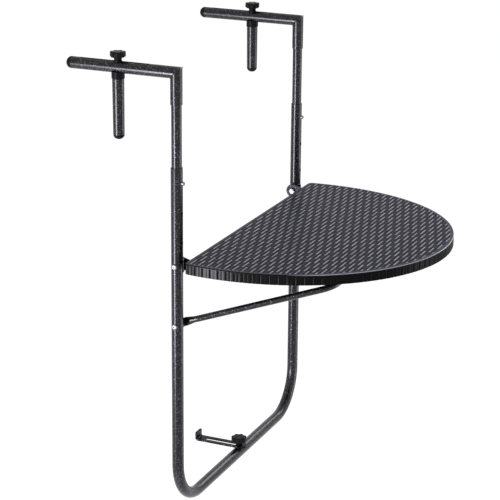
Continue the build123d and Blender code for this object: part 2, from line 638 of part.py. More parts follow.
# ---- folding stay ------------------------------------------------------------------------------
STAY_ANGLE = atan2(STAY_DROP - STAY_BELOW, STAY_REACH)
STAY_LENGTH = hypot(STAY_DROP - STAY_BELOW, STAY_REACH)
EYE_R = 8.5
EYE_X = (EYE_OUT + EYE_IN) / 2
LEG_X = EYE_OUT - STAY_R               # the eye is pressed flat on the tube's outer side
EYE_END = 11.0                         # distances along the leg from the bolt: end of the
LEG_ROUND = 26.0                       # flat eye, start of the full round tube,
LEG_BEND = 34.0                        # and the bend where the legs start to draw in
slant = Plane(origin=(0, 0, STAY_Z), x_dir=(1, 0, 0),
              z_dir=(0, -sin(STAY_ANGLE), -cos(STAY_ANGLE)))

with BuildPart() as stay:
    with BuildLine(slant) as bail:
        FilletPolyline(
            (-LEG_X, LEG_ROUND), (-LEG_X, LEG_BEND), (-STAY_HALF, STAY_LENGTH),
            (STAY_HALF, STAY_LENGTH), (LEG_X, LEG_BEND), (LEG_X, LEG_ROUND),
            radius=STAY_BEND_R)
    with BuildSketch(Plane(origin=bail.line @ 0, z_dir=bail.line % 0)):
        Circle(STAY_R)
        Circle(STAY_R - STAY_WALL, mode=Mode.SUBTRACT)
    sweep(path=bail.line)
    for _, s in SIDES:
        # each end is pressed flat into an eye for the bolt
        leg = Plane(origin=slant.origin, x_dir=(1, 0, 0), z_dir=slant.y_dir)
        with BuildSketch(leg.offset(LEG_ROUND)):
            with Locations((s * LEG_X, 0)):
                Circle(STAY_R)
        with BuildSketch(leg.offset(EYE_END)):
            with Locations((s * EYE_X, 0)):
                Ellipse(EYE_THICK / 2, EYE_R)
        loft()
        with BuildSketch(Plane(origin=slant.from_local_coords((s * EYE_IN, 0, 0)),
                               x_dir=slant.y_dir, z_dir=(s, 0, 0))):
            Circle(EYE_R)
            with Locations((EYE_END / 2, 0)):
                Rectangle(EYE_END, 2 * EYE_R - 1.5)
            Circle(BOLT_R + RUNNING, mode=Mode.SUBTRACT)
        extrude(amount=EYE_THICK)
save(stay, "stay")

# ---- stand-off at the bottom rail -----------------------------------------------------------
BOSS_RISE = 1.0                        # the boss's flat top above the rail,
BOSS_SKIRT = 4.0                       # its collar's reach down the rail's round side,
BOSS_PLUG = 8.0                        # and its plug's reach into the tube
BOSS_TOP_Z = RAIL_Z + TUBE_R + BOSS_RISE
BAR_TOP_Z = BOSS_TOP_Z + BAR_THICK
TIP_HEIGHT = 18.0
BAR_BEND_R = 3.5
TIP_ROUND = 3.0
BAR_SLOT_END = 75.0
BAR_SLOT_HALF = 4.5
BOSS_CLEAR = 4.0                       # stud's tip above the rail's axis

with BuildPart() as rail_boss:
    with Locations((0, 0, BOSS_TOP_Z)):
        Cylinder(BOSS_R, BOSS_RISE + BOSS_SKIRT, align=(Align.CENTER, Align.CENTER, Align.MAX))
    with Locations((0, 0, RAIL_Z)):
        Cylinder(TUBE_R, 4 * TUBE_R, rotation=(0, 90, 0), mode=Mode.SUBTRACT)
    with Locations((0, 0, RAIL_Z + TUBE_R)):
        Cylinder(BOSS_PLUG_R, BOSS_PLUG, align=(Align.CENTER, Align.CENTER, Align.MAX))
    with Locations((0, 0, RAIL_Z)):
        Cylinder(BOLT_R + RUNNING, 3 * TUBE_R, mode=Mode.SUBTRACT)
save(rail_boss, "rail_boss")

with BuildPart() as standoff_bar:
    # flat bar, turned up at the end that meets the railing
    with BuildSketch(Plane.YZ.offset(-BAR_WIDTH / 2)):
        with BuildLine() as bend_line:
            FilletPolyline(
                (BAR_BACK_Y, BOSS_TOP_Z + BAR_THICK / 2),
                (BAR_TIP_Y - BAR_THICK / 2, BOSS_TOP_Z + BAR_THICK / 2),
                (BAR_TIP_Y - BAR_THICK / 2, BOSS_TOP_Z + TIP_HEIGHT), radius=BAR_BEND_R)
        trace(line_width=BAR_THICK)
    extrude(amount=BAR_WIDTH)
    # back end rounded to a half circle, tip corners eased
    fillet(standoff_bar.edges().filter_by(Axis.Z).sort_by(Axis.Y)[:2], radius=BAR_WIDTH / 2 - 0.1)
    fillet(standoff_bar.edges().filter_by(Axis.Y).group_by(Axis.Z)[-1], radius=TIP_ROUND)
    with BuildSketch(Plane.XY.offset(BOSS_TOP_Z)):
        with Locations((0, (BAR_SLOT_END - BAR_SLOT_HALF) / 2)):
            SlotOverall(BAR_SLOT_END + BAR_SLOT_HALF, 2 * BAR_SLOT_HALF, rotation=90)
    extrude(amount=BAR_THICK, mode=Mode.SUBTRACT)
save(standoff_bar, "standoff_bar")

foot_z = BAR_TOP_Z + SEAT_GAP
standoff_knob = star_knob(0, 0, foot_z, STANDOFF_KNOB_NECK, STANDOFF_KNOB_R)
save(standoff_knob, "standoff_knob")
standoff_stud = stud(0, 0, RAIL_Z + BOSS_CLEAR, foot_z + STUD_BITE)
save(standoff_stud, "standoff_stud")
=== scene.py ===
# %% [markdown]
# # Dressing a table that hangs on a balcony railing
# The solids of the table are already built, at full size and in metres. This file gives each of
# them its finish, weaves the tabletop, and stands the table in a plain white studio. It is
# written as a lesson: each step says what the real piece is, how it could be made in Blender,
# and why this way was chosen.

# %% Load the solids
import json
from math import atan2, cos, hypot, pi, radians, sin

import bmesh
import bpy
import numpy as np
from mathutils import Matrix, Vector


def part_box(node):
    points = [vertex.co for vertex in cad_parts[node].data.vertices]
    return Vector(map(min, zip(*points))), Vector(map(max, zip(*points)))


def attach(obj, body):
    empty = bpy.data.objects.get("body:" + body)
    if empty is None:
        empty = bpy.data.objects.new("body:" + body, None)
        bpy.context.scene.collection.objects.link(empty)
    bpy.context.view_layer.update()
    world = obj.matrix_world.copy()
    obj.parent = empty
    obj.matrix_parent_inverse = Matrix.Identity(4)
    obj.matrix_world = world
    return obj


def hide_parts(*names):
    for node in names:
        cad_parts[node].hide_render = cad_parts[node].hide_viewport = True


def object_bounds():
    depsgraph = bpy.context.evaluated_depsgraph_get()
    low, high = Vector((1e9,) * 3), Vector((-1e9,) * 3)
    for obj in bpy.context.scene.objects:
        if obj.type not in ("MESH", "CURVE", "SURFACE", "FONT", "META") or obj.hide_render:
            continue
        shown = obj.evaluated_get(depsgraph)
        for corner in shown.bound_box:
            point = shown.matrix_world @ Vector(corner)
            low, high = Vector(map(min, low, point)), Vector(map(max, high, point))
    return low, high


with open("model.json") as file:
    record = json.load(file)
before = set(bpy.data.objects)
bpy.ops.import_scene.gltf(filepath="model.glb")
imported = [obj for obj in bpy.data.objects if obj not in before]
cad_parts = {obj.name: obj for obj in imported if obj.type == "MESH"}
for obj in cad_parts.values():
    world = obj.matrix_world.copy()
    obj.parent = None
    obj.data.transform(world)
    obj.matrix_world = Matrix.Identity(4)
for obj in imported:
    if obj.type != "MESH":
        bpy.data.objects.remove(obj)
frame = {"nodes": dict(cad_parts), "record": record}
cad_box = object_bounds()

MM = 0.001
nodes = frame["nodes"]

# %% [markdown]
# ## Node trees as expressions
# Both the finishes and the woven tabletop are node trees. Placing nodes one by one and linking
# their sockets takes many lines and hides the formula. Here a Wire stands for one output
# socket, and sums, products and powers of wires add the Math nodes themselves, so a formula
# reads as a formula. Every other node comes from one method, add(), which sets the node's own
# settings first and then its inputs, either to a value or to a wire.

# %% Wires and trees


class Wire:
    """An output socket. Arithmetic on it adds Math nodes to the tree that it belongs to."""

    def __init__(self, tree, socket):
        self.tree = tree
        self.socket = socket

    def maths(self, operation, *values):
        return self.tree.add("ShaderNodeMath", {"operation": operation}, dict(enumerate(values)))

    def __add__(self, other):
        return self.maths("ADD", self, other)

    def __radd__(self, other):
        return self.maths("ADD", other, self)

    def __sub__(self, other):
        return self.maths("SUBTRACT", self, other)

    def __rsub__(self, other):
        return self.maths("SUBTRACT", other, self)

    def __mul__(self, other):
        return self.maths("MULTIPLY", self, other)

    def __rmul__(self, other):
        return self.maths("MULTIPLY", other, self)

    def __truediv__(self, other):
        return self.maths("DIVIDE", self, other)

    def __pow__(self, other):
        return self.maths("POWER", self, other)

    def __mod__(self, other):
        return self.maths("FLOORED_MODULO", self, other)

    def __lt__(self, other):
        return self.maths("LESS_THAN", self, other)

    def __gt__(self, other):
        return self.maths("GREATER_THAN", self, other)

    def __abs__(self):
        return self.maths("ABSOLUTE", self)

    def floor(self):
        return self.maths("FLOOR", self)

    def clamp(self):
        return self.maths("MINIMUM", self.maths("MAXIMUM", self, 0.0), 1.0)

    def out(self, name):
        """Another output of the node that this wire comes from."""
        return Wire(self.tree, self.socket.node.outputs[name])


class Tree:
    """A node tree that is empty at first. add() makes every node in it."""

    def __init__(self, tree):
        self.tree = tree
        tree.nodes.clear()

    def add(self, kind, settings=None, inputs=None, output=0):
        node = self.tree.nodes.new(kind)
        for name, value in (settings or {}).items():
            if name == "stops":
                set_stops(node.color_ramp, value)
            else:
                setattr(node, name, value)
        for name, value in (inputs or {}).items():
            if isinstance(value, Wire):
                self.tree.links.new(value.socket, node.inputs[name])
            else:
                node.inputs[name].default_value = value
        return Wire(self, node.outputs[output]) if node.outputs else None


def set_stops(ramp, stops):
    """Gives a colour ramp its stops, each a place from 0 to 1 and a grey or a colour."""
    while len(ramp.elements) < len(stops):
        ramp.elements.new(0.5)
    for element, (place, colour) in zip(ramp.elements, stops):
        element.position = place
        element.color = colour if isinstance(colour, tuple) else (colour, colour, colour, 1)


def grey(value, tint=(1.0, 1.0, 1.0)):
    """A colour of the given lightness, in linear light."""
    return (value * tint[0], value * tint[1], value * tint[2], 1)

# %% [markdown]
# ## Finishes
# Each finish is a Principled surface with something that varies over it. All of them read
# Object coordinates, which for these pieces are metres in the table's own frame, so a grain of
# two millimetres is two millimetres on every piece.

# %% A finish, and the noise that all of them share
GRAIN_ROUGHNESS = 0.55


class Finish(Tree):
    """A material with one Principled surface."""

    def __init__(self, name):
        self.material = bpy.data.materials.new(name)
        self.material.use_nodes = True
        super().__init__(self.material.node_tree)
        self.place = self.add("ShaderNodeTexCoord", output="Object")

    def noise(self, per_metre, detail, stretch=None):
        """Noise from 0 to 1, with so many grains to the metre."""
        place = self.place
        if stretch:
            place = self.add("ShaderNodeMapping", None, {"Vector": place, "Scale": stretch})
        return self.add("ShaderNodeTexNoise", None, {
            "Vector": place, "Scale": per_metre, "Detail": detail, "Roughness": GRAIN_ROUGHNESS})

    def ramp(self, value, stops):
        """Colour by value, through a list of stops."""
        return self.add("ShaderNodeValToRGB", {"stops": stops}, {"Fac": value})

    def mix(self, amount, low, high):
        """A colour between low and high."""
        return self.add("ShaderNodeMix", {"data_type": "RGBA"}, {0: amount, 6: low, 7: high},
                        output=2)

    def bump(self, height, distance, strength):
        """Normals for a relief of so many metres, which isn't in the mesh."""
        return self.add("ShaderNodeBump", None, {
            "Height": height, "Distance": distance, "Strength": strength})

    def surface(self, **values):
        """Closes the finish. Socket names are given with underscores for blanks."""
        inputs = {name.replace("_", " "): value for name, value in values.items()}
        shader = self.add("ShaderNodeBsdfPrincipled", None, inputs)
        self.add("ShaderNodeOutputMaterial", None, {"Surface": shader})
        return self.material

# %% [markdown]
# ### Hammertone paint
# The tubes carry a hammertone coat: while it cures, metal flakes gather in little pools, and
# the paint draws up into low, smooth lumps with thin dark valleys between. A noise bump would
# look like sand. Cells from a Voronoi texture have the right outline, so the distance from a
# cell's middle gives the lumps, and the cell's own random colour gives each pool its share of
# flakes. A clear coat lies over both and carries the long bright lines on the tubes. Flat
# stamped parts wear a duller version, because a flat face would mirror a whole lamp.

# %% Hammertone
LAVENDER = (0.88, 0.87, 1.1)
SHEEN_TINT = grey(1.0, (0.86, 0.85, 1.0))
BARE_SHEEN = 0.06
POOLS_PER_METRE = 480.0
DRIFTS_PER_METRE = 120.0
DRIFT = 4.0 * MM
LUMP = 0.5 * MM


def hammertone(name, gloss):
    """Paint with flake pools. Gloss is the share of clear coat over it."""
    paint = Finish(name)
    drift = paint.noise(DRIFTS_PER_METRE, 2.0)
    bent = paint.add("ShaderNodeVectorMath", {"operation": "MULTIPLY_ADD"}, {
        0: drift.out("Color"), 1: (DRIFT, DRIFT, DRIFT), 2: paint.place})
    cells = paint.add("ShaderNodeTexVoronoi", {"feature": "SMOOTH_F1"}, {
        "Vector": bent, "Scale": POOLS_PER_METRE, "Smoothness": 0.2})
    flakes = paint.add("ShaderNodeSeparateColor", None, {"Color": cells.out("Color")})
    # a pool fades out from its middle, and some pools hold hardly any flakes
    pool = (1.0 - cells * 1.2).clamp()
    silver = (pool * (flakes * 1.5 - 0.2)).clamp()
    colour = paint.ramp(silver, [(0.1, grey(0.002)), (0.5, grey(0.012, LAVENDER)),
                                 (0.9, grey(0.17, LAVENDER))])
    return paint.surface(
        Base_Color=colour, Metallic=silver * 0.5, Roughness=0.3, Specular_IOR_Level=BARE_SHEEN,
        Specular_Tint=SHEEN_TINT, Coat_Weight=gloss, Coat_Roughness=0.24,
        Normal=paint.bump(pool, LUMP, 0.5))


finishes = {"hammertone": hammertone("hammertone", 0.5)}
stamped_finish = hammertone("stamped_steel", 0.04)
print("hammertone:", len(stamped_finish.node_tree.nodes), "nodes, pools of about",
      round(1000 / POOLS_PER_METRE, 1), "mm")

# %% [markdown]
# ### Moulded black plastic
# Knobs, caps, collars and hinge blocks are injection moulded in black, with the fine spark
# texture that such tools have. Two scales of noise are enough: the texture itself, as a bump,
# and a slow change of gloss where hands have rubbed it.

# %% Black plastic
SPARKS_PER_METRE = 2600.0
SPARK = 0.2 * MM
RUBS_PER_METRE = 45.0


def black_plastic():
    plastic = Finish("black_plastic")
    grain = plastic.noise(SPARKS_PER_METRE, 2.0)
    rubbed = plastic.noise(RUBS_PER_METRE, 3.0)
    colour = plastic.ramp(rubbed, [(0.3, grey(0.004)), (0.75, grey(0.009))])
    return plastic.surface(
        Base_Color=colour, Roughness=0.26 + rubbed * 0.2, Specular_IOR_Level=BARE_SHEEN,
        Specular_Tint=SHEEN_TINT, Normal=plastic.bump(grain, SPARK, 0.35))


finishes["black_plastic"] = black_plastic()
print("black plastic:", len(finishes["black_plastic"].node_tree.nodes), "nodes")

# %% [markdown]
# ### Zinc and spring steel
# Bolts, nuts and pins are zinc plated: bright, faintly mottled, with fine turning marks. The
# leaf springs are bare strip, a little darker and streaked along their length.

# %% Zinc and steel
MOTTLES_PER_METRE = 900.0
MARKS_PER_METRE = 700.0
MARK = 0.08 * MM


def plated(name, lightness, roughness, streaks):
    """Bare or plated metal. A small number in streaks draws its marks out along that axis."""
    metal = Finish(name)
    mottle = metal.noise(MOTTLES_PER_METRE, 3.0)
    marks = metal.noise(MARKS_PER_METRE, 2.0, stretch=streaks)
    colour = metal.ramp(mottle, [(0.3, grey(lightness * 0.82)), (0.7, grey(lightness))])
    return metal.surface(
        Base_Color=colour, Metallic=1.0, Roughness=roughness + marks * 0.14,
        Normal=metal.bump(marks, MARK, 0.3))


finishes["zinc"] = plated("zinc", 0.24, 0.38, (1.0, 1.0, 0.1))
finishes["spring_steel"] = plated("spring_steel", 0.32, 0.30, (1.0, 1.0, 0.05))
print("metals:", len(finishes["zinc"].node_tree.nodes), "nodes each")

# %% [markdown]
# ### Rattan-look plastic
# The top is one dark moulding whose relief imitates woven cane. The relief itself is geometry,
# made further down. The finish adds what the mould's texture adds: fine fibres along the
# cords, a duller ground in the hollows, and crests that are polished by use. Its colour also
# holds painted shade and painted highlight: near black in the hollows, light grey on the
# crests. Hands polish the rounded edge too, where people sit, and a painted highlight lies on
# that edge in front, while their clothes brush the rim's side dull there. The edge is found
# from the face's own direction, since no height would tell it from the woven field. So the
# finish reads three things: how high a point lies in the relief, how far it is from the
# straight back edge, and how steep its face is.

# %% Rattan-look plastic
table_low, table_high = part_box("tabletop")
RELIEF = 0.65 * MM
FIBRES_PER_METRE = 1100.0
FIBRE = 0.15 * MM
CLOUDS_PER_METRE = 30.0
HIGHLIGHT_AND_GLOSS_FROM = 190.0 * MM
HIGHLIGHT_AND_GLOSS_FADE = 60.0 * MM
BRUSHED_FROM = 60.0 * MM
BRUSHED_FADE = 200.0 * MM
POLISHED = 0.92
EDGE_UPRIGHT = 0.94
SIDE_UPRIGHT = 0.5
SIDE_GLOSS = 0.19
BRUSHED_OFF = 0.14


def rattan_plastic(crest_z, hollow_z, back_y):
    """Plastic for a relief between two heights. Its edge in front, away from back_y, is polished
    and carries a painted highlight.
    """
    cane = Finish("rattan_plastic")
    fibre = cane.noise(FIBRES_PER_METRE, 3.0, stretch=(0.06, 1.0, 1.0))
    cloud = cane.noise(CLOUDS_PER_METRE, 2.0)
    spot = cane.add("ShaderNodeSeparateXYZ", None, {"Vector": cane.place})
    raised = ((spot.out("Z") - hollow_z) / (crest_z - hollow_z)).clamp()
    reach = back_y - spot.out("Y")
    # where the edge's painted highlight and its gloss begin, measured from the straight back edge
    front_highlight_and_gloss = ((reach - HIGHLIGHT_AND_GLOSS_FROM) / HIGHLIGHT_AND_GLOSS_FADE).clamp()
    brushed = ((reach - BRUSHED_FROM) / BRUSHED_FADE).clamp()
    tone = raised * (0.95 + cloud * 0.05 + fibre * 0.05)
    # painted shade and painted highlight by height: near black in the hollows, light lavender
    # grey on the crests
    weave_colour = cane.ramp(tone, [(0.0, grey(0.004)), (0.55, grey(0.062, LAVENDER)),
                                    (0.84, grey(0.11, LAVENDER)), (0.94, grey(0.2, LAVENDER)),
                                    (0.975, grey(0.9, LAVENDER))])
    crest = ((tone - POLISHED) * 18.0).clamp()
    # upright is 1 on a level face and 0 on a wall
    upright = cane.add("ShaderNodeSeparateXYZ", None, {
        "Vector": cane.add("ShaderNodeNewGeometry", output="True Normal")}).out("Z")
    rounding = ((EDGE_UPRIGHT - upright) * 12.0).clamp()
    side = ((SIDE_UPRIGHT - upright) * 4.0).clamp()
    edge = (rounding - side) * front_highlight_and_gloss
    gloss = edge + side * (SIDE_GLOSS - brushed * BRUSHED_OFF) + crest
    # painted highlight: the rounded edge in front is painted a light lavender grey over the
    # weave's colour
    colour = cane.mix(edge, weave_colour, grey(0.5, LAVENDER))
    return cane.surface(
        Base_Color=colour, Roughness=0.34 - raised * 0.06 + fibre * 0.06,
        Specular_IOR_Level=0.01, Coat_Weight=gloss.clamp(), Coat_Roughness=0.28,
        Normal=cane.bump(fibre, FIBRE, 0.2))


finishes["rattan_plastic"] = rattan_plastic(table_high.z, table_high.z - RELIEF, table_high.y)
print("rattan plastic:", len(finishes["rattan_plastic"].node_tree.nodes), "nodes")

# %% [markdown]
# ## Which solid wears which finish
# The record names a material slot for every solid, so the finishes are dealt out by slot, and
# only the stamped parts are named here. The solid's material is all that changes, never its
# mesh or its place.

# %% Deal the finishes out
STAMPED = ("standoff_bar", "rail_boss", "table_bracket_left", "table_bracket_right")
for entry in frame["record"]["subparts"]:
    stamped = entry["node"] in STAMPED
    finish = stamped_finish if stamped else finishes[entry["material_slot"]]
    for slot in nodes[entry["node"]].material_slots:
        slot.material = finish
print("finishes:", ", ".join(finishes), "and", stamped_finish.name)

# %% [markdown]
# ## The tabletop's outline
# Seen from above, the top is an ellipse cut off by a straight back edge, with rounded corners.
# Everything on the top follows that line, so it comes first, as a function that can also be
# drawn inwards. The corner's arc touches both the ellipse and the back edge. Its centre lies
# one radius inside each of them, and a bisection finds the place on the ellipse where both
# hold.

# %% Outline
HALF_LENGTH = 337.0 * MM
CORNER = 10.0 * MM
HALF_WIDTH = table_high.x
BACK_Y = table_high.y
CENTRE_Y = table_low.y + HALF_LENGTH
TOP_Z = table_high.z
RIM_Z = table_low.z
BISECTIONS = 40
CORNER_POINTS = 12
FRONT_POINTS = 360


def outline(inset):
    """Points round the top, drawn in by the inset, from the back edge's right end onwards."""
    a, b = HALF_WIDTH - inset, HALF_LENGTH - inset
    back, corner = BACK_Y - inset, CORNER - inset

    def on_ellipse(t):
        return Vector((a * cos(t), CENTRE_Y + b * sin(t)))

    def corner_centre(t):
        length = hypot(b * cos(t), a * sin(t))
        normal = Vector((b * cos(t) / length, a * sin(t) / length))
        return on_ellipse(t) - normal * corner, normal

    low, high = 0.0, pi / 4
    for _ in range(BISECTIONS):
        middle = (low + high) / 2
        centre, normal = corner_centre(middle)
        if centre.y < back - corner:
            low = middle
        else:
            high = middle
    turn = atan2(normal.y, normal.x)
    right_arc = [centre + Vector((cos(t), sin(t))) * corner
                 for t in np.linspace(pi / 2, turn, CORNER_POINTS)]
    front = [on_ellipse(t) for t in np.linspace(middle, -pi - middle, FRONT_POINTS)]
    left_arc = [Vector((-p.x, p.y)) for p in reversed(right_arc)]
    return right_arc + front[1:-1] + left_arc


edge_points = outline(0.0)
edge_length = sum((a - b).length for a, b in zip(edge_points, edge_points[1:] + edge_points[:1]))
print("outline of", len(edge_points), "points,", round(edge_length, 3), "m round")

# %% [markdown]
# ## Helpers for meshes
# A Geometry Nodes tree is only useful here as a maker of plain meshes, so bake() evaluates the
# object with its modifiers, keeps the resulting mesh and removes the object. The tabletop is
# put together from closed solids with Boolean modifiers. The Manifold solver needs every one of
# them closed, and is fast enough for a mesh of this size.

# %% Mesh helpers


def new_object(name, mesh):
    """An object in the scene, at the origin."""
    thing = bpy.data.objects.new(name, mesh)
    bpy.context.scene.collection.objects.link(thing)
    return thing


def bake(thing):
    """Turns an object with modifiers into a plain mesh object of the same name."""
    graph = bpy.context.evaluated_depsgraph_get()
    mesh = bpy.data.meshes.new_from_object(thing.evaluated_get(graph), depsgraph=graph)
    name = thing.name
    bpy.data.objects.remove(thing)
    return new_object(name, mesh)


def nodes_modifier(thing, tree, **values):
    """Hangs a Geometry Nodes tree on an object and sets its named inputs."""
    modifier = thing.modifiers.new("nodes", "NODES")
    modifier.node_group = tree
    for socket in tree.interface.items_tree:
        if socket.in_out == "INPUT" and socket.name in values:
            modifier[socket.identifier] = values[socket.name]


def geometry_tree(name, sockets):
    """An empty Geometry Nodes tree with named inputs and one geometry output."""
    group = bpy.data.node_groups.new(name, "GeometryNodeTree")
    for label, kind in sockets:
        group.interface.new_socket(label, in_out="INPUT", socket_type=kind)
    group.interface.new_socket("Geometry", in_out="OUTPUT", socket_type="NodeSocketGeometry")
    return Tree(group)


def boolean(thing, operation, other):
    """Adds one Boolean step to an object."""
    step = thing.modifiers.new(operation.lower(), "BOOLEAN")
    step.operation = operation
    step.solver = "MANIFOLD"
    step.object = other


def face_outwards(thing):
    """Turns all faces of a closed mesh outwards."""
    shape = bmesh.new()
    shape.from_mesh(thing.data)
    bmesh.ops.recalc_face_normals(shape, faces=shape.faces)
    shape.to_mesh(thing.data)
    shape.free()


def prism(name, points, low_z, high_z):
    """A closed upright prism on a polygon."""
    mesh = bpy.data.meshes.new(name)
    shape = bmesh.new()
    foot = shape.faces.new([shape.verts.new((p.x, p.y, low_z)) for p in points])
    lifted = bmesh.ops.extrude_face_region(shape, geom=[foot])["geom"]
    verts = [v for v in lifted if isinstance(v, bmesh.types.BMVert)]
    bmesh.ops.translate(shape, vec=(0, 0, high_z - low_z), verts=verts)
    bmesh.ops.recalc_face_normals(shape, faces=shape.faces)
    shape.to_mesh(mesh)
    shape.free()
    return new_object(name, mesh)

# %% [markdown]
# ## The woven field
# The relief copies a weave of flat cords, all of one width. Cords that run along the back edge
# float over four cords, dip under two, and start half a repeat later in the next row. Where
# one of them is down, the two cords that cross it show as two short bumps. It could be
# modelled cord by cord, but a moulding has no cords, only a surface, and one formula for that
# surface is shorter and has no gaps. The tree starts with a finely divided slab, a little
# larger than the top. The slab's grid lines fall on the edges of the cords, so the grooves
# stay sharp with few faces.

# %% A slab to weave
CORD = 8.33 * MM
STEPS = 5
SLAB = 8.0 * MM
rows = int((BACK_Y - table_low.y) / CORD) + 2
columns = 2 * (int(HALF_WIDTH / CORD) + 2)
weave = geometry_tree("weave", [
    ("Cord", "NodeSocketFloat"), ("Relief", "NodeSocketFloat"), ("Top", "NodeSocketFloat"),
    ("Back", "NodeSocketFloat"), ("Finish", "NodeSocketMaterial")])
given = weave.add("NodeGroupInput")
cord = given.out("Cord")
slab = weave.add("GeometryNodeMeshCube", None, {
    "Size": (columns * CORD, rows * CORD, SLAB),
    "Vertices X": columns * STEPS + 1, "Vertices Y": rows * STEPS + 1, "Vertices Z": 2})
point = weave.add("ShaderNodeSeparateXYZ", None, {
    "Vector": weave.add("GeometryNodeInputPosition")})
across = point / cord
along = point.out("Y") / cord + rows / 2
print("slab of", rows, "rows and", columns, "columns of cords")

# %% [markdown]
# ## The formula of the weave
# Every point knows its row and its place in the repeat, both counted in cords. Whether a long
# cord is over or under follows from the place in the repeat, and each kind of cord has its own
# cross-section: a round back for the long ones, with steep ends, and a flatter one for the two
# short bumps. A grid line that falls on a seam is moved on by a hair, so that it belongs to one
# row only. Inside a row the grid lines gather towards the middle, where the narrow crest of the
# cord needs them. Only points of the slab's upper side are moved down.

# %% Weave it
FLOAT = 4
DIP = 2
REPEAT = float(FLOAT + DIP)
ROUND = 2.0
STEEP = 30.0
FLATTER = 2.4
BUMP_HEIGHT = 0.96
GATHER = 0.5
HAIR = 0.001


def crown(part, power):
    """Cross-section of a cord: 1 in the middle and 0 at both edges."""
    return 1.0 - abs(part * 2.0 - 1.0) ** power


row = (along + HAIR).floor()
side = (along - row) * 2.0 - 1.0
drawn_in = side * abs(side) ** GATHER
in_row = drawn_in * 0.5 + 0.5
in_repeat = (across + row * (REPEAT / 2)) % REPEAT
over = in_repeat < float(FLOAT)
long_cord = crown(in_row, ROUND) * crown((in_repeat / float(FLOAT)).clamp(), STEEP)
short_bump = crown(across % 1.0, FLATTER) * crown(in_row, ROUND) * BUMP_HEIGHT
height = over * long_cord + (1.0 - over) * short_bump
upper = point.out("Z") > 0.0
lift = upper * (height - 1.0) * given.out("Relief")
offset = weave.add("ShaderNodeCombineXYZ", None, {
    "Y": given.out("Back") - rows * CORD / 2 + (drawn_in - side) * cord * 0.5,
    "Z": lift + given.out("Top") - SLAB / 2})
moved = weave.add("GeometryNodeSetPosition", None, {"Geometry": slab, "Offset": offset})
real = weave.add("GeometryNodeRealizeInstances", None, {"Geometry": moved})
dressed = weave.add("GeometryNodeSetMaterial", None, {
    "Geometry": real, "Material": given.out("Finish")})
weave.add("NodeGroupOutput", None, {"Geometry": dressed})
print("weave tree:", len(weave.tree.nodes), "nodes")

# %% [markdown]
# ## Bake the field
# The rows of cords start at the inner edge of the smooth border along the back. The field lies
# a hair below the solid's surface, so that the dressed top is nowhere higher than the solid.

# %% The woven field
BORDER = 7.0 * MM
SKIN = 0.02 * MM
field = new_object("field", bpy.data.meshes.new("field"))
nodes_modifier(field, weave.tree, Cord=CORD, Relief=RELIEF, Top=TOP_Z - SKIN,
               Back=BACK_Y - BORDER, Finish=finishes["rattan_plastic"])
field = bake(field)
print("woven field:", len(field.data.polygons), "faces")

# %% [markdown]
# ## The rim
# The woven cords fold down over the rim in pairs, and a smooth band runs round the top's edge.
# Both follow the outline, so the rim is a profile swept along it by Curve to Mesh. Before the
# sweep, each station on the outline stores how far along it lies and which way is outwards.
# The swept mesh inherits both.

# %% Sweep the rim
RIB_PAIR = 15.6 * MM
STATIONS = 14
pairs = round(edge_length / RIB_PAIR)
rim_tree = geometry_tree("rim", [
    ("Path", "NodeSocketGeometry"), ("Profile", "NodeSocketObject"), ("Pair", "NodeSocketFloat"),
    ("Relief", "NodeSocketFloat"), ("Finish", "NodeSocketMaterial")])
given = rim_tree.add("NodeGroupInput")
stations = rim_tree.add("GeometryNodeResampleCurve", {"keep_last_segment": True}, {
    "Curve": given.out("Path"), "Count": pairs * STATIONS})
length = rim_tree.add("GeometryNodeSplineParameter").out("Length")
tangent = rim_tree.add("GeometryNodeInputTangent")
outwards = rim_tree.add("ShaderNodeVectorMath", {"operation": "CROSS_PRODUCT"}, {
    0: (0.0, 0.0, 1.0), 1: tangent})
kept_length = rim_tree.add("GeometryNodeStoreNamedAttribute", {
    "data_type": "FLOAT", "domain": "POINT"}, {
    "Geometry": stations, "Name": "length", "Value": length})
kept = rim_tree.add("GeometryNodeStoreNamedAttribute", {
    "data_type": "FLOAT_VECTOR", "domain": "POINT"}, {
    "Geometry": kept_length, "Name": "outwards", "Value": outwards})
profile = rim_tree.add("GeometryNodeObjectInfo", None, {
    "Object": given.out("Profile")}, output="Geometry")
swept = rim_tree.add("GeometryNodeCurveToMesh", None, {"Curve": kept, "Profile Curve": profile})
print(pairs, "pairs of ribs,", pairs * STATIONS, "stations")

# %% [markdown]
# ## The rim's ribs
# A swept profile is the same everywhere, so the ribs come after the sweep. A formula draws the
# points in at the grooves: shallow between the two ribs of a pair, deep between two pairs, and
# fading out below the smooth band.

# %% Draw the ribs in
RIB_RELIEF = 1.1 * MM
EDGE = 1.8 * MM
RIB_TOP = 3.6 * MM
SHALLOW = 0.3
RIB_FLAT = 4.0
PAIR_FLAT = 8.0
so_far = rim_tree.add("GeometryNodeInputNamedAttribute", {"data_type": "FLOAT"}, {
    "Name": "length"})
away = rim_tree.add("GeometryNodeInputNamedAttribute", {"data_type": "FLOAT_VECTOR"}, {
    "Name": "outwards"})
place = rim_tree.add("GeometryNodeInputPosition")
level = rim_tree.add("ShaderNodeSeparateXYZ", None, {"Vector": place}).out("Z")
in_pair = so_far / given.out("Pair") % 1.0
in_rib = in_pair * 2.0 % 1.0
between_ribs = abs(in_rib * 2.0 - 1.0) ** RIB_FLAT
between_pairs = abs(in_pair * 2.0 - 1.0) ** PAIR_FLAT
groove = between_ribs * (SHALLOW + (1.0 - SHALLOW) * between_pairs)
fade = ((TOP_Z - EDGE - level) / (RIB_TOP - EDGE)).clamp()
pull = groove * fade * given.out("Relief") * -1.0
shift = rim_tree.add("ShaderNodeVectorMath", {"operation": "SCALE"}, {0: away, "Scale": pull})
ribbed = rim_tree.add("GeometryNodeSetPosition", None, {"Geometry": swept, "Offset": shift})
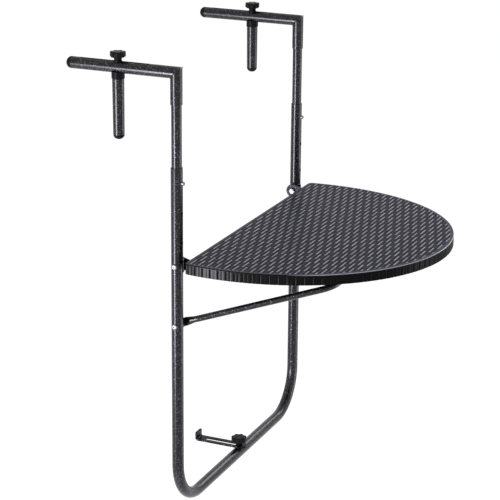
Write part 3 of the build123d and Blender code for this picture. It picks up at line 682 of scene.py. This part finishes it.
real = rim_tree.add("GeometryNodeRealizeInstances", None, {"Geometry": ribbed})
dressed = rim_tree.add("GeometryNodeSetMaterial", None, {
    "Geometry": real, "Material": given.out("Finish")})
rim_tree.add("NodeGroupOutput", None, {"Geometry": dressed})
print("rim tree:", len(rim_tree.tree.nodes), "nodes")

# %% [markdown]
# ## The rim's section
# The profile is a quarter round for the top's edge, the flat border, a step down to the hollows
# of the weave, and a wall that reaches below the solid. In the section, x runs inwards from the
# edge and y runs down. The wall's outer side gets a few levels, because the ribs need points to
# fade out at.

# %% Section, path and rim
LIP = 2.0 * MM
SLOPE = 0.15 * MM
RIM_SINK = 0.12 * MM
ROUND_POINTS = 7
WALL_POINTS = 4


def closed_curve(name, points, height=0.0):
    """A closed curve of straight pieces through the points."""
    data = bpy.data.curves.new(name, "CURVE")
    data.dimensions = "3D"
    spline = data.splines.new("POLY")
    spline.points.add(len(points) - 1)
    for place, target in zip(points, spline.points):
        target.co = (place[0], place[1], height, 1)
    spline.use_cyclic_u = True
    return new_object(name, data)


depth = TOP_Z - RIM_Z + LIP
section = [(EDGE * (1 - cos(t)), EDGE * (1 - sin(t)))
           for t in np.linspace(0, pi / 2, ROUND_POINTS)]
section += [(BORDER - SLOPE, 0.0), (BORDER, RELIEF), (BORDER, depth), (0.0, depth)]
section += [(0.0, y) for y in np.linspace(depth - LIP / 2, RIB_TOP, WALL_POINTS)]
profile_curve = closed_curve("rim_section", section)
path = closed_curve("rim_path", edge_points, TOP_Z - SKIN - RIM_SINK)
nodes_modifier(path, rim_tree.tree, Profile=profile_curve, Pair=edge_length / pairs,
               Relief=RIB_RELIEF, Finish=finishes["rattan_plastic"])
rim = bake(path)
face_outwards(rim)
rim_levels = [vert.co.z for vert in rim.data.vertices]
print("rim:", len(rim.data.polygons), "faces, from z", round(min(rim_levels), 4), "to",
      round(max(rim_levels), 4))

# %% [markdown]
# ## The solid's inside
# The underside of the top, with its ribs, notches and screw holes, is already right in the
# solid. Only its outside has to make room for the weave. So a copy of the solid is blown up:
# the points of its outer wall move outwards, and those of its upper surface also upwards,
# until both lie clear of the woven surfaces. Each point moves along the normal of the nearest
# point of the outline. The straight back edge has such points only at its ends, so a point
# near the rest of it simply moves back.

# %% Blow up a copy of the solid
GROWTH = 4.0 * MM
MERGE = 0.01 * MM
DECK_Z = TOP_Z - 3.5 * MM
ABOVE_DECK = 0.1 * MM
UPPER_SURFACE = 3.4 * MM
OUTER_WALL = 1.2 * MM
STRAIGHT_BACK = HALF_WIDTH * 0.9
core = new_object("core", nodes["tabletop"].data.copy())
shape = bmesh.new()
shape.from_mesh(core.data)
bmesh.ops.remove_doubles(shape, verts=shape.verts, dist=MERGE)
edge = np.array([(p.x, p.y) for p in edge_points])
following = np.roll(edge, -1, axis=0) - np.roll(edge, 1, axis=0)
normals = np.stack([-following[:, 1], following[:, 0]], axis=1)
normals /= np.linalg.norm(normals, axis=1)[:, None]
moved_points = 0
for vert in shape.verts:
    gaps = np.hypot(edge[:, 0] - vert.co.x, edge[:, 1] - vert.co.y)
    if abs(vert.co.x) < STRAIGHT_BACK:
        gaps = np.append(gaps, abs(BACK_Y - vert.co.y))
    near = int(gaps.argmin())
    normal = (0.0, 1.0) if near == len(edge) else normals[near]
    on_top = vert.co.z > DECK_Z + ABOVE_DECK and gaps[near] < UPPER_SURFACE
    if on_top or gaps[near] < OUTER_WALL:
        vert.co.x += normal[0] * GROWTH
        vert.co.y += normal[1] * GROWTH
        moved_points += 1
    if on_top:
        vert.co.z = TOP_Z + GROWTH
print("blown up:", moved_points, "of", len(shape.verts), "points moved")
shape.to_mesh(core.data)
shape.free()

# %% [markdown]
# ## Put the tabletop together
# The field is trimmed to a plate that reaches a little under the border, the rim is joined to
# it, and the result is intersected with the blown-up copy. What is left has the solid's inside
# and the woven outside, in one closed mesh. A Boolean step fails quietly on an open mesh, so
# all four are measured first: no edge may be open, and a volume below zero would mean faces
# that point inwards.

# %% Join
UNDERLAP = 1.0 * MM
trim = prism("trim", outline(BORDER - UNDERLAP), RIM_Z - LIP, TOP_Z + LIP)
face_outwards(field)
for part in (field, trim, rim, core):
    closed = bmesh.new()
    closed.from_mesh(part.data)
    print(part.name, "volume", round(closed.calc_volume(signed=True) * 1e6, 1), "cm3, open edges",
          sum(1 for e in closed.edges if len(e.link_faces) != 2))
    closed.free()
boolean(field, "INTERSECT", trim)
boolean(field, "UNION", rim)
boolean(field, "INTERSECT", core)
field.name = "woven_top"
woven_top = bake(field)
for helper in (trim, rim, core, profile_curve):
    bpy.data.objects.remove(helper)
print("tabletop:", sum(len(face.vertices) - 2 for face in woven_top.data.polygons), "triangles")

# %% [markdown]
# ## Shade it and hand it over
# The top is shaded smooth, except where two faces meet at more than the crease's angle. Without
# those creases, the flat deck between its ribs would look like cushions from below. The shading
# directions that came with the solid no longer fit its faces, so they go first. Then the woven
# top takes the solid's place on the table's body, which carries it when the table folds.

# %% Shade and hand over
CREASE = radians(40.0)
skin = woven_top.data
for face in skin.polygons:
    face.use_smooth = True
if "custom_normal" in skin.attributes:
    skin.attributes.remove(skin.attributes["custom_normal"])
skin.set_sharp_from_angle(angle=CREASE)
skin.update()
print("creases:", sum(item.value for item in skin.attributes["sharp_edge"].data), "edges")
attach(woven_top, "table")
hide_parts("tabletop")

# %% [markdown]
# ## Studio
# The table hangs in front of white, high over a pale floor. The white comes from the world and
# the floor, seen by camera, mirror and glass rays alike, and never from more light on the
# table.

# %% World
WHITE = 1.0
AMBIENT = 0.6


def seen_directly(tree):
    """1 for rays that show the background: from the camera, off gloss and through glass."""
    path = tree.add("ShaderNodeLightPath")
    return (path + path.out("Is Glossy Ray") + path.out("Is Transmission Ray")).clamp()


world = bpy.data.worlds.new("studio")
bpy.context.scene.world = world
world.use_nodes = True
sky = Tree(world.node_tree)
strength = AMBIENT + seen_directly(sky) * (WHITE - AMBIENT)
background = sky.add("ShaderNodeBackground", None, {"Color": grey(1.0), "Strength": strength})
sky.add("ShaderNodeOutputWorld", None, {"Surface": background})
print("world: ambient light", AMBIENT, "and a background of", WHITE)

# %% [markdown]
# ### The floor
# The floor is a plain pale sheet, far enough below the table to throw little light back at it.
# Its glow brings it up to the background's white where it is seen, and leaves its shadows.

# %% Floor
FLOOR_Z = -2.2
FLOOR_HALF = 30.0
FLOOR_GREY = 0.8
FLOOR_GLOW = 0.55
floor_material = bpy.data.materials.new("pale_floor")
floor_material.use_nodes = True
ground = Tree(floor_material.node_tree)
matt = ground.add("ShaderNodeBsdfDiffuse", None, {"Color": grey(FLOOR_GREY)})
glow = ground.add("ShaderNodeEmission", None, {"Color": grey(1.0), "Strength": FLOOR_GLOW})
both = ground.add("ShaderNodeAddShader", None, {0: matt, 1: glow})
seen = ground.add("ShaderNodeMixShader", None, {0: seen_directly(ground), 1: matt, 2: both})
ground.add("ShaderNodeOutputMaterial", None, {"Surface": seen})
shape = bmesh.new()
bmesh.ops.create_grid(shape, x_segments=1, y_segments=1, size=FLOOR_HALF,
                      matrix=Matrix.Translation((0, 0, FLOOR_Z)))
floor_mesh = bpy.data.meshes.new("floor")
shape.to_mesh(floor_mesh)
shape.free()
floor = new_object("floor", floor_mesh)
floor.data.materials.append(floor_material)
print("floor at", FLOOR_Z, "m")

# %% [markdown]
# ## Lamps
# Dark, round tubes show mostly what they mirror, so each of them needs something tall to
# mirror. A narrow tall strip stands low at the left and draws a bright line along every tube. A
# soft box low at the right lights their other edge. A long lamp high on the table's far side
# draws the line along its rounded edge, over the painted highlight there. A single large lamp
# would make the tubes grey all over.

# %% Lamps
DAYLIGHT = (0.93, 0.92, 1.0)
middle = (cad_box[0] + cad_box[1]) / 2


def soft_box(name, place, width, height, power):
    """A rectangular area lamp that faces the middle of the table."""
    lamp = bpy.data.lights.new(name, "AREA")
    lamp.shape = "RECTANGLE"
    lamp.size, lamp.size_y = width, height
    lamp.energy = power
    lamp.color = DAYLIGHT
    thing = new_object(name, lamp)
    thing.location = place
    thing.rotation_euler = (middle - Vector(place)).to_track_quat("-Z", "Y").to_euler()
    thing.visible_camera = False
    print(name, "lamp:", power, "W,", round((middle - Vector(place)).length, 2), "m away")


soft_box("strip", (-2.56, 1.02, -0.95), width=0.35, height=1.1, power=95.0)
soft_box("right", (1.2, -2.6, -1.1), width=1.3, height=1.2, power=26.0)
soft_box("edge", (2.5, -0.9, 0.9), width=1.9, height=0.45, power=24.0)

# %% [markdown]
# ## Camera
# The camera looks along the railing from the left and in front, from a little above the hooks,
# through a long lens. The Standard view shows each colour as it is written.

# %% Camera
EYE = (-3.0326, -1.3503, 0.6687)
AZIMUTH = radians(-66.33)
ELEVATION = radians(17.78)
ROLL = radians(0.48)
LENS = 128.3
SENSOR = 36.0
camera = bpy.data.cameras.new("camera")
camera.lens = LENS
camera.sensor_width = SENSOR
eye = new_object("camera", camera)
eye.location = EYE
back = Vector((sin(AZIMUTH) * cos(ELEVATION), -cos(AZIMUTH) * cos(ELEVATION), sin(ELEVATION)))
eye.rotation_mode = "QUATERNION"
eye.rotation_quaternion = (-back).to_track_quat("-Z", "Y") @ Matrix.Rotation(
    ROLL, 3, "Z").to_quaternion()
bpy.context.scene.camera = eye
bpy.context.scene.view_settings.view_transform = "Standard"
print("camera:", round((middle - Vector(EYE)).length, 2), "m from the table's middle")
